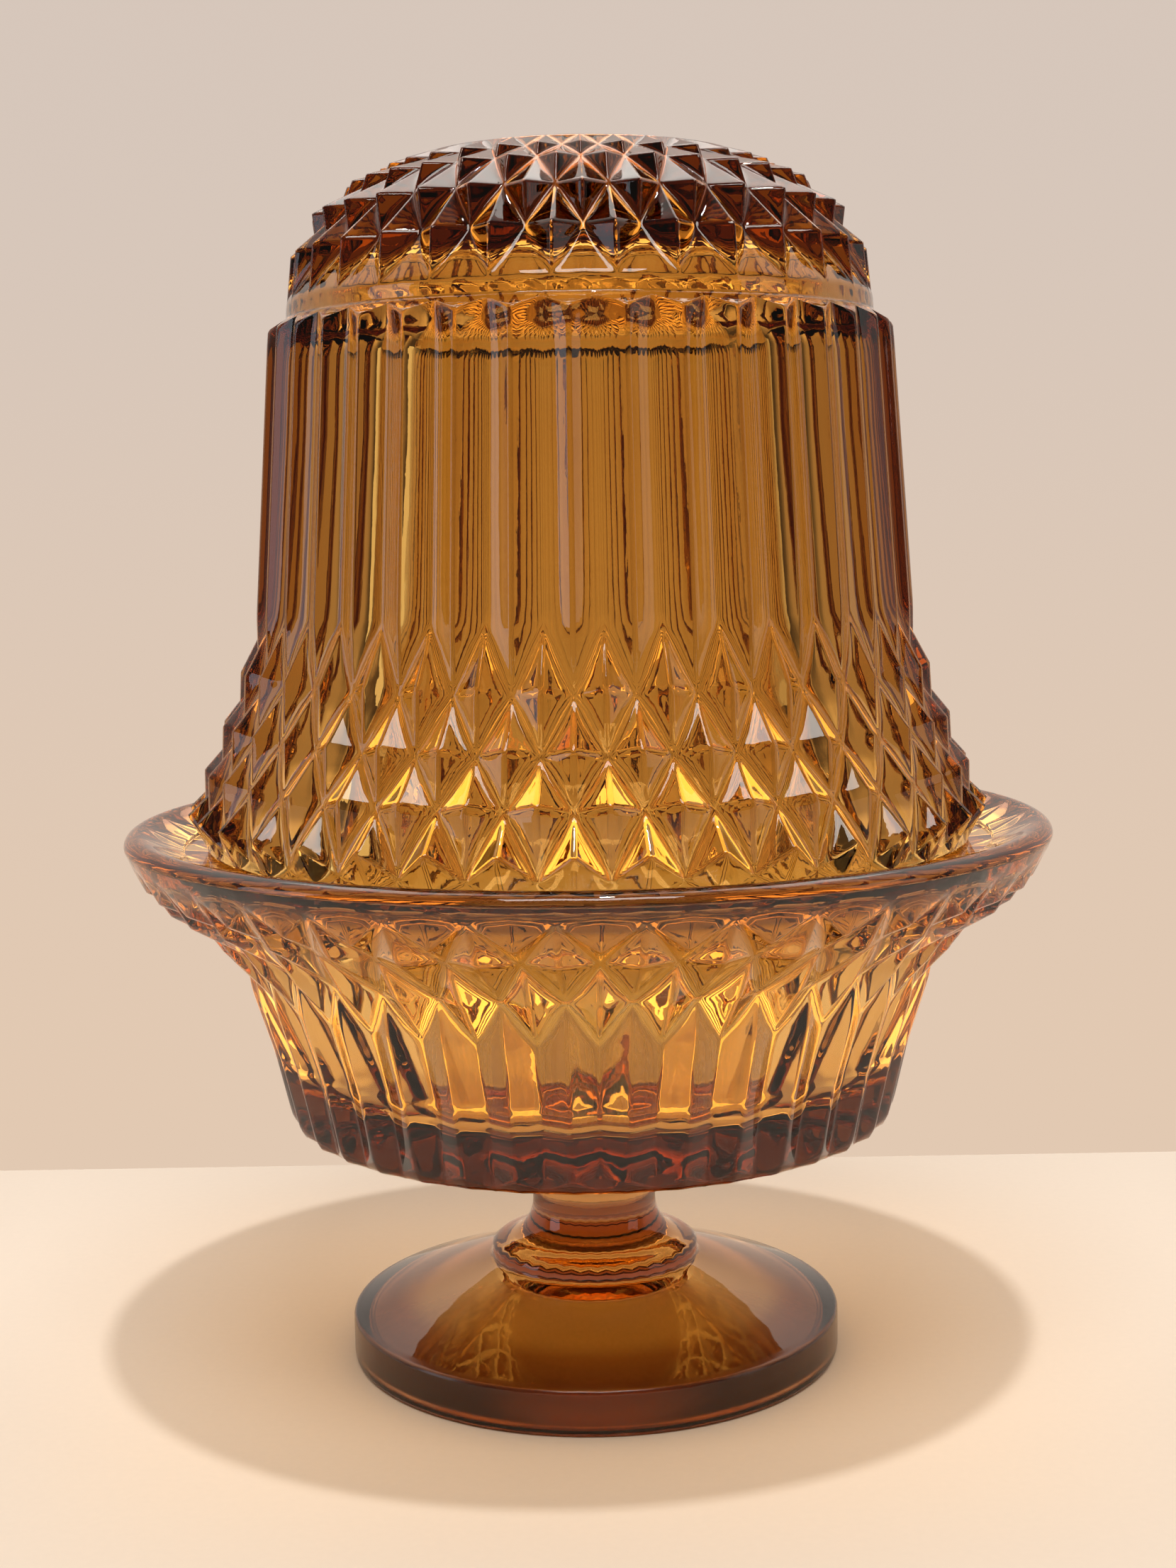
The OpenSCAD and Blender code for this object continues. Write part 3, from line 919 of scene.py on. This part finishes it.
        rows.smooth(line((base_in - 8, self.floor_z), (2.0, self.floor_z), 6), style)
        rows.smooth([(0.0, self.floor_z)], style)

    def build(self, spinner: SpinTree) -> bpy.types.Object:
        """Makes the bowl with its stem and foot and puts it on its body.

        Args:
            spinner: The tree that spins skins.

        Returns:
            The piece.
        """
        style = Moulding(cells=6, turn=self.turn)
        plain = Moulding(cells=6, turn=self.turn, flat=False, soft=0.0)
        rows = Rows()
        self.foot(rows, plain)
        self.outside(rows, style, plain)
        self.inside(rows, plain)
        glass = AmberGlass(
            "bowl_amber_glass",
            density=80.0,
            tint=(0.79, 0.49, 0.0),
            face=(0.985, 0.78, 0.37),
            painted_light_bands=(
                # Painted light: paler faces below 32 mm brighten the glass of the foot and stem.
                PaintedLightBand(-0.01, -0.01, 0.032, (0.99, 0.82, 0.50), 0.002),
                # Painted shade: dark faces round the thick base of the bowl, 34 to 42.5 mm up.
                PaintedLightBand(0.041, 0.034, 0.0425, (0.30, 0.20, 0.13)),
                # Painted shade: dark faces round the lip, 71 to 80 mm up.
                PaintedLightBand(0.0575, 0.071, 0.08, (0.27, 0.18, 0.17)),
                # Painted shade: dark faces on the outer foot and its edge, below 12 mm.
                PaintedLightBand(0.027, -0.001, 0.012, (0.52, 0.27, 0.16), 0.002),
            ),
            wave=0.03,
            satin_below=0.0066,
        )
        piece = spinner.spin("bowl_glass", rows, glass.material(), 1.0)
        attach(piece, "base")
        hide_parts("footed_bowl")
        return piece


@dataclass(frozen=True)
class DrawnAluminium:
    """Thin drawn aluminium sheet with fine draw lines up its wall."""

    name: str = "cup_drawn_aluminium"

    def material(self) -> bpy.types.Material:
        """Builds the finish.

        Returns:
            The material.
        """
        mat, s, place = blank_finish(self.name)
        drawn = s.add("ShaderNodeMapping", {"Vector": place, "Scale": (1.0, 1.0, 0.08)})
        lines = s.add("ShaderNodeTexNoise", {"Vector": drawn.outputs[0], "Scale": 1400.0, "Detail": 3.0})
        cloud = s.add("ShaderNodeTexNoise", {"Vector": place, "Scale": 160.0, "Detail": 3.0})
        ramp = s.add("ShaderNodeValToRGB", {"Fac": cloud.outputs[0]})
        ramp.color_ramp.elements[0].color = (0.74, 0.74, 0.75, 1.0)
        ramp.color_ramp.elements[1].color = (0.87, 0.87, 0.86, 1.0)
        rough = s.add(
            "ShaderNodeMapRange",
            {"Value": lines.outputs[0], "From Min": 0.3, "From Max": 0.7, "To Min": 0.2, "To Max": 0.36},
        )
        bump = s.add("ShaderNodeBump", {"Height": lines.outputs[0], "Strength": 0.3, "Distance": 0.00005})
        metal = s.add(
            "ShaderNodeBsdfPrincipled",
            {
                "Base Color": ramp.outputs[0],
                "Metallic": 1.0,
                "Roughness": rough.outputs[0],
                "Normal": bump.outputs[0],
            },
        )
        s.add("ShaderNodeOutputMaterial", {"Surface": metal.outputs[0]})
        return mat


@dataclass(frozen=True)
class TinnedSteel:
    """Tinned sheet steel with a mottled grey skin."""

    name: str = "clip_tinned_steel"

    def material(self) -> bpy.types.Material:
        """Builds the finish.

        Returns:
            The material.
        """
        mat, s, place = blank_finish(self.name)
        mottle = s.add("ShaderNodeTexVoronoi", {"Vector": place, "Scale": 700.0})
        ramp = s.add("ShaderNodeValToRGB", {"Fac": mottle.outputs["Distance"]})
        ramp.color_ramp.elements[0].color = (0.5, 0.5, 0.51, 1.0)
        ramp.color_ramp.elements[1].color = (0.68, 0.68, 0.67, 1.0)
        metal = s.add(
            "ShaderNodeBsdfPrincipled",
            {"Base Color": ramp.outputs[0], "Metallic": 1.0, "Roughness": 0.35},
        )
        s.add("ShaderNodeOutputMaterial", {"Surface": metal.outputs[0]})
        return mat


@dataclass(frozen=True)
class CandleWax:
    """Ivory wax that lets a little light in, with a faint bloom and small dimples."""

    name: str = "candle_wax"

    def material(self) -> bpy.types.Material:
        """Builds the finish.

        Returns:
            The material.
        """
        mat, s, place = blank_finish(self.name)
        bloom = s.add("ShaderNodeTexNoise", {"Vector": place, "Scale": 220.0, "Detail": 4.0})
        ramp = s.add("ShaderNodeValToRGB", {"Fac": bloom.outputs[0]})
        ramp.color_ramp.elements[0].color = (0.80, 0.75, 0.64, 1.0)
        ramp.color_ramp.elements[1].color = (0.90, 0.87, 0.78, 1.0)
        dimple = s.add("ShaderNodeTexNoise", {"Vector": place, "Scale": 500.0, "Detail": 2.0})
        bump = s.add("ShaderNodeBump", {"Height": dimple.outputs[0], "Strength": 0.25, "Distance": 0.0002})
        rough = s.add(
            "ShaderNodeMapRange",
            {"Value": bloom.outputs[0], "From Min": 0.3, "From Max": 0.7, "To Min": 0.32, "To Max": 0.5},
        )
        wax = s.add(
            "ShaderNodeBsdfPrincipled",
            {
                "Base Color": ramp.outputs[0],
                "Roughness": rough.outputs[0],
                "Subsurface Weight": 0.4,
                "Subsurface Radius": (0.004, 0.003, 0.002),
                "Subsurface Scale": 1.0,
                "Normal": bump.outputs[0],
            },
        )
        s.add("ShaderNodeOutputMaterial", {"Surface": wax.outputs[0]})
        return mat


@dataclass(frozen=True)
class BraidedCotton:
    """Cream cotton yarn with fine fibres along each strand."""

    name: str = "wick_braided_cotton"

    def material(self) -> bpy.types.Material:
        """Builds the finish.

        Returns:
            The material.
        """
        mat, s, place = blank_finish(self.name)
        fibre = s.add("ShaderNodeTexNoise", {"Vector": place, "Scale": 3500.0, "Detail": 3.0})
        ramp = s.add("ShaderNodeValToRGB", {"Fac": fibre.outputs[0]})
        ramp.color_ramp.elements[0].color = (0.62, 0.57, 0.46, 1.0)
        ramp.color_ramp.elements[1].color = (0.88, 0.85, 0.76, 1.0)
        bump = s.add("ShaderNodeBump", {"Height": fibre.outputs[0], "Strength": 0.6, "Distance": 0.00008})
        yarn = s.add(
            "ShaderNodeBsdfPrincipled",
            {
                "Base Color": ramp.outputs[0],
                "Roughness": 0.85,
                "Sheen Weight": 0.3,
                "Normal": bump.outputs[0],
            },
        )
        s.add("ShaderNodeOutputMaterial", {"Surface": yarn.outputs[0]})
        return mat


class TwistTree:
    """Geometry Nodes tree that twists strands into a wick."""

    def __init__(self) -> None:
        """Builds the tree."""
        self.tree = bpy.data.node_groups.new("twist_strands", "GeometryNodeTree")
        face = self.tree.interface
        face.new_socket("Start", in_out="INPUT", socket_type="NodeSocketGeometry")
        self.sizes = {
            name: face.new_socket(name, in_out="INPUT", socket_type=kind)
            for name, kind in (
                ("Strands", "NodeSocketInt"),
                ("Turns", "NodeSocketFloat"),
                ("Length", "NodeSocketFloat"),
                ("Lay Radius", "NodeSocketFloat"),
                ("Strand Radius", "NodeSocketFloat"),
                ("Height", "NodeSocketFloat"),
                ("Material", "NodeSocketMaterial"),
            )
        }
        face.new_socket("Wick", in_out="OUTPUT", socket_type="NodeSocketGeometry")
        s = NodeSheet(self.tree)
        given = s.add("NodeGroupInput").outputs
        lay = s.add(
            "GeometryNodeCurveSpiral",
            {
                "Resolution": 14,
                "Rotations": given["Turns"],
                "Start Radius": given["Lay Radius"],
                "End Radius": given["Lay Radius"],
                "Height": given["Length"],
            },
        )
        ring = s.add(
            "GeometryNodeCurvePrimitiveCircle",
            {"Resolution": 10, "Radius": given["Strand Radius"]},
            mode="RADIUS",
        )
        strand = s.add(
            "GeometryNodeCurveToMesh",
            {"Curve": lay.outputs[0], "Profile Curve": ring.outputs[0], "Fill Caps": True},
        )
        spots = s.add("GeometryNodePoints", {"Count": given["Strands"]})
        step = s.math("DIVIDE", 2 * math.pi, given["Strands"])
        turn = s.math("MULTIPLY", s.add("GeometryNodeInputIndex").outputs[0], step)
        facing = s.add("ShaderNodeCombineXYZ", {2: turn})
        laid = s.add(
            "GeometryNodeInstanceOnPoints",
            {"Points": spots.outputs[0], "Instance": strand.outputs[0], "Rotation": facing.outputs[0]},
        )
        up = s.add("ShaderNodeCombineXYZ", {2: given["Height"]})
        lifted = s.add("GeometryNodeTransform", {"Geometry": laid.outputs[0], "Translation": up.outputs[0]})
        round_off = s.add("GeometryNodeSetShadeSmooth", {"Geometry": lifted.outputs[0]}, domain="FACE")
        real = s.add("GeometryNodeRealizeInstances", {"Geometry": round_off.outputs[0]})
        dressed = s.add(
            "GeometryNodeSetMaterial", {"Geometry": real.outputs[0], "Material": given["Material"]}
        )
        s.add("NodeGroupOutput", {"Wick": dressed.outputs[0]})

    def twist(self, name: str, values: dict[str, object]) -> bpy.types.Object:
        """Twists strands into a finished piece.

        Args:
            name: Name of the piece.
            values: Value of each input, by its name.

        Returns:
            The piece, with a plain mesh.
        """
        maker = bpy.data.objects.new(name + "_strands", bpy.data.meshes.new(name + "_strands"))
        bpy.context.scene.collection.objects.link(maker)
        modifier = maker.modifiers.new("twist", "NODES")
        modifier.node_group = self.tree
        for key, value in values.items():
            modifier[self.sizes[key].identifier] = value
        return plain_piece(name, maker)


@dataclass
class Tealight:
    """Tealight: a pleated cup, wax, and a wick held by a sheet-metal clip."""

    floor_z: float = 40.8
    cup_r: float = 19.0
    cup_h: float = 16.0
    sheet: float = 0.4
    roll: float = 0.5
    pleat: float = 0.12
    wax_h: float = 13.2
    dish: float = 1.2
    wick_r: float = 0.9
    wick_free: float = 8.0
    clip_sheet: float = 0.4
    clip_r: float = 6.0
    tube: Point = (1.3, 3.8)

    def cup(self, spinner: SpinTree) -> bpy.types.Object:
        """Makes the cup.

        Args:
            spinner: The tree that spins skins.

        Returns:
            The piece.
        """
        r, z, t = self.cup_r, self.floor_z + 0.02, self.sheet
        plain = Moulding(cells=3, turn=0.0, flat=False, soft=0.0)
        pleated = Moulding(cells=3, turn=0.0, flat=False, soft=0.3)
        rows = Rows()
        rows.smooth([(0.0, z)], plain)
        rows.smooth(line((1.5, z), (r - 1.2, z), 3), plain)
        rows.smooth(arc((r - 1.2, z + 1.2), (1.2, 1.2), -90, 0, 5), plain)
        top = z + self.cup_h - 0.02
        low = Ring((r, z + 2.0), (r - self.pleat, z + 2.0))
        high = Ring((r, top - 2.0), (r - self.pleat, top - 2.0))
        rows.band(low, high, Fold.EVEN, 4, pleated)
        rows.smooth([(r, top - 1.4), (r, top - 1.0)], plain)
        rows.smooth(arc((r, top - 0.5), (self.roll, self.roll), -80, 180, 10), plain)
        rows.smooth(line((r - t, top - 1.0), (r - t, z + 1.2), 3), plain)
        rows.smooth(arc((r - 1.2, z + 1.2), (1.2 - t, 1.2 - t), 0, -90, 4), plain)
        rows.smooth([(6.0, z + t), (0.0, z + t)], plain)
        piece = spinner.spin("tealight_cup_sheet", rows, DrawnAluminium().material(), 1.0)
        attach(piece, "candle")
        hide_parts("tealight_cup")
        return piece

    def wax(self, spinner: SpinTree) -> bpy.types.Object:
        """Makes the wax.

        Args:
            spinner: The tree that spins skins.

        Returns:
            The piece.
        """
        z = self.floor_z + self.sheet + 0.03
        r = self.cup_r - self.sheet - 0.03
        top = self.floor_z + self.sheet + self.wax_h
        hole = self.wick_r + 0.02
        tube_r, tube_z = self.tube
        plain = Moulding(cells=3, turn=0.0, flat=False, soft=0.0)
        rows = Rows()
        start = (self.clip_r + 0.03, z)
        rows.smooth([start, (12.0, z)], plain)
        rows.smooth(arc((r - 0.9, z + 0.9), (0.9, 0.9), -90, 0, 4), plain)
        rows.smooth([(r, z + 5), (r, top - 0.3), (r - 0.06, top - 0.08), (r - 0.25, top - 0.16)], plain)
        rows.smooth([(r - 0.8, top - 0.36), (r - 2.0, top - 0.55), (r - 4.0, top - 0.8)], plain)
        rows.smooth([(11.5, top - 1.05), (8.0, top - self.dish), (4.0, top - self.dish)], plain)
        rows.smooth([(2.2, top - self.dish + 0.06), (1.5, top - self.dish + 0.22)], plain)
        rows.smooth([(hole + 0.1, top - 0.75)], plain)
        rows.smooth([(hole, top - 0.82), (hole, z + tube_z), (tube_r + 0.03, z + tube_z)], plain)
        sheet_z = z + self.clip_sheet
        rows.smooth([(tube_r + 0.03, sheet_z), (self.clip_r + 0.03, sheet_z), start], plain)
        piece = spinner.spin("candle_wax_cake", rows, CandleWax().material(), 0.0)
        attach(piece, "candle")
        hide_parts("wax")
        return piece

    def wick(self) -> bpy.types.Object:
        """Makes the wick of twisted strands.

        Returns:
            The piece.
        """
        low = self.floor_z + self.sheet + self.clip_sheet
        length = self.wax_h + self.wick_free - self.clip_sheet
        piece = TwistTree().twist(
            "twisted_wick",
            {
                "Strands": 3,
                "Turns": 5.0,
                "Length": (length - 0.4) * MM,
                "Lay Radius": 0.42 * MM,
                "Strand Radius": 0.45 * MM,
                "Height": (low + 0.2) * MM,
                "Material": BraidedCotton().material(),
            },
        )
        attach(piece, "candle")
        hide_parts("wick")
        return piece

    def build(self, spinner: SpinTree) -> list[bpy.types.Object]:
        """Makes the whole tealight and dresses the clip.

        Args:
            spinner: The tree that spins skins.

        Returns:
            The pieces.
        """
        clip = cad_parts["wick_clip"]
        clip.data.materials.clear()
        clip.data.materials.append(TinnedSteel().material())
        return [self.cup(spinner), self.wax(spinner), self.wick(), clip]


@dataclass(frozen=True)
class PaleMatt:
    """Pale matt surface under the lamp, with a faint cloudiness and a fine grain."""

    name: str
    colour: Colour
    shade: float = 0.93

    def material(self) -> bpy.types.Material:
        """Builds the finish.

        Returns:
            The material.
        """
        mat, s, place = blank_finish(self.name)
        cloud = s.add("ShaderNodeTexNoise", {"Vector": place, "Scale": 9.0, "Detail": 4.0})
        grain = s.add("ShaderNodeTexNoise", {"Vector": place, "Scale": 900.0, "Detail": 2.0})
        mottle = s.math("MULTIPLY", s.math("ADD", cloud.outputs[0], grain.outputs[0]), 0.5)
        ramp = s.add("ShaderNodeValToRGB", {"Fac": mottle})
        ramp.color_ramp.elements[0].color = (*(c * self.shade for c in self.colour), 1.0)
        ramp.color_ramp.elements[1].color = (*self.colour, 1.0)
        matt = s.add(
            "ShaderNodeBsdfPrincipled",
            {"Base Color": ramp.outputs[0], "Roughness": 0.8, "Specular IOR Level": 0.1},
        )
        s.add("ShaderNodeOutputMaterial", {"Surface": matt.outputs[0]})
        return mat


@dataclass
class Studio:
    """Camera, table, background and lights."""

    lens_px: float = 3150.0
    width_px: float = 1659.0
    eye: tuple[float, float, float] = (0.000085, -0.3083, 0.1187)
    pitch: float = 7.09
    roll: float = -0.935
    table_back: float = 0.088
    wall: Colour = (0.675, 0.568, 0.495)
    wall_low: Colour = (0.76, 0.584, 0.445)
    ceiling: Colour = (1.35, 1.2, 1.07)
    dim: Colour = (0.12, 0.10, 0.085)
    table: Colour = (0.86, 0.77, 0.675)
    amber: Colour = (1.0, 0.55, 0.1)

    def camera(self) -> None:
        """Adds the camera at the place from which the photograph was taken."""
        data = bpy.data.cameras.new("camera")
        data.sensor_fit = "HORIZONTAL"
        data.sensor_width = 36.0
        data.lens = self.lens_px * 36.0 / self.width_px
        data.clip_start = 0.01
        eye = bpy.data.objects.new("camera", data)
        tilt = Matrix.Rotation(math.radians(90 - self.pitch), 4, "X")
        roll = Matrix.Rotation(math.radians(self.roll), 4, "Z")
        eye.matrix_world = Matrix.Translation(self.eye) @ tilt @ roll
        bpy.context.scene.collection.objects.link(eye)
        bpy.context.scene.camera = eye

    def floor(self) -> None:
        """Adds the table top."""
        mesh = bpy.data.meshes.new("table_top")
        b = self.table_back
        mesh.from_pydata([(-1.2, -1.6, 0), (1.2, -1.6, 0), (1.2, b, 0), (-1.2, b, 0)], [], [(0, 1, 2, 3)])
        top = bpy.data.objects.new("table_top", mesh)
        mesh.materials.append(PaleMatt("table_cream", self.table).material())
        bpy.context.scene.collection.objects.link(top)

    def background(self) -> None:
        """Lights the room: a pale wall, warmer below, a bright ceiling, and a dimmer side in front."""
        world = bpy.data.worlds.new("room")
        world.use_nodes = True
        world.node_tree.nodes.clear()
        s = NodeSheet(world.node_tree)
        way = s.add("ShaderNodeSeparateXYZ", {0: s.add("ShaderNodeTexCoord").outputs["Generated"]})
        behind = s.ramp(way.outputs[1], -0.05, 0.3)
        above = s.ramp(way.outputs[2], 0.3, 0.7)
        high = s.ramp(way.outputs[2], -0.28, 0.2)
        wall = s.blend(high, (*self.wall_low, 1.0), (*self.wall, 1.0))
        room = s.blend(above, wall, (*self.ceiling, 1.0))
        room = s.blend(behind, (*self.dim, 1.0), room)
        path = s.add("ShaderNodeLightPath")
        seen = s.blend(path.outputs["Is Camera Ray"], room, wall)
        back = s.add("ShaderNodeBackground", {"Color": seen, "Strength": 1.0})
        s.add("ShaderNodeOutputWorld", {"Surface": back.outputs[0]})
        bpy.context.scene.world = world

    def lamp(
        self,
        name: str,
        place: tuple[float, float, float],
        size: Point,
        power: float,
        colour: Colour,
        lights_table: bool = False,
        aim: float = 0.08,
    ) -> bpy.types.Object:
        """Adds a soft light that points at the axis of the fairy lamp.

        Args:
            name: Name of the light.
            place: Where it hangs.
            size: Width and height of its face.
            power: Watts.
            colour: Colour of its light.
            lights_table: Whether it lights matt faces too; else it only shows in polished ones.
            aim: Height of the place on the axis that it points at.

        Returns:
            The light.
        """
        data = bpy.data.lights.new(name, "AREA")
        data.shape = "RECTANGLE"
        data.size, data.size_y = size
        data.energy = power
        data.color = colour
        light = bpy.data.objects.new(name, data)
        light.visible_camera = False
        light.visible_diffuse = lights_table
        away = Vector(place) - Vector((0, 0, aim))
        light.matrix_world = Matrix.Translation(place) @ away.to_track_quat("Z", "Y").to_matrix().to_4x4()
        bpy.context.scene.collection.objects.link(light)
        return light

    def glow(self, name: str, height: float, width: float, power: float) -> None:
        """Adds the amber light that comes down through the glass and falls on the table only.

        Args:
            name: Name of the light.
            height: Height above the table.
            width: Width of its face.
            power: Watts.
        """
        light = self.lamp(name, (0.0, 0.0, height), (width, width), power, self.amber, True, 0.0)
        light.visible_glossy = False
        light.visible_transmission = False

    def build(self) -> None:
        """Sets up the whole studio."""
        self.camera()
        self.floor()
        self.background()
        warm, cool = (1.0, 0.96, 0.9), (0.8, 0.88, 1.0)
        self.lamp("ceiling_light", (0.06, -0.2, 1.25), (0.05, 0.05), 5.3, warm, True)
        self.lamp("left_panel", (-0.8, -0.2, 0.2), (0.3, 0.5), 0.75, cool)
        self.lamp("front_panel", (0.0, -0.45, 0.85), (0.5, 0.25), 3.1, warm, True)
        self.lamp("top_panel", (0.0, 0.45, 1.0), (1.0, 0.6), 4.2, warm)
        back = self.lamp("back_panel", (0.0, 0.3, -0.09), (0.7, 0.16), 0.9, (1.0, 0.76, 0.52))
        back.visible_glossy = False
        self.lamp("right_panel", (0.8, -0.25, 0.3), (0.3, 0.5), 0.35, warm)
        self.glow("bowl_glow", 0.03, 0.13, 0.017)
        self.glow("foot_glow", 0.005, 0.05, 0.0016)
        scene = bpy.context.scene
        scene.view_settings.view_transform = "Standard"
        scene.cycles.max_bounces = 16
        scene.cycles.transmission_bounces = 16


def main() -> None:
    """Builds the lamp piece by piece."""
    logging.basicConfig(level=logging.INFO, format="%(name)s: %(message)s")
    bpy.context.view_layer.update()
    Studio().build()
    spinner = SpinTree()
    for piece in (FootedBowl().build(spinner), Shade().build(spinner), *Tealight().build(spinner)):
        log.info("%s: %d faces", piece.name, len(piece.data.polygons))


if __name__ == "__main__":
    main()
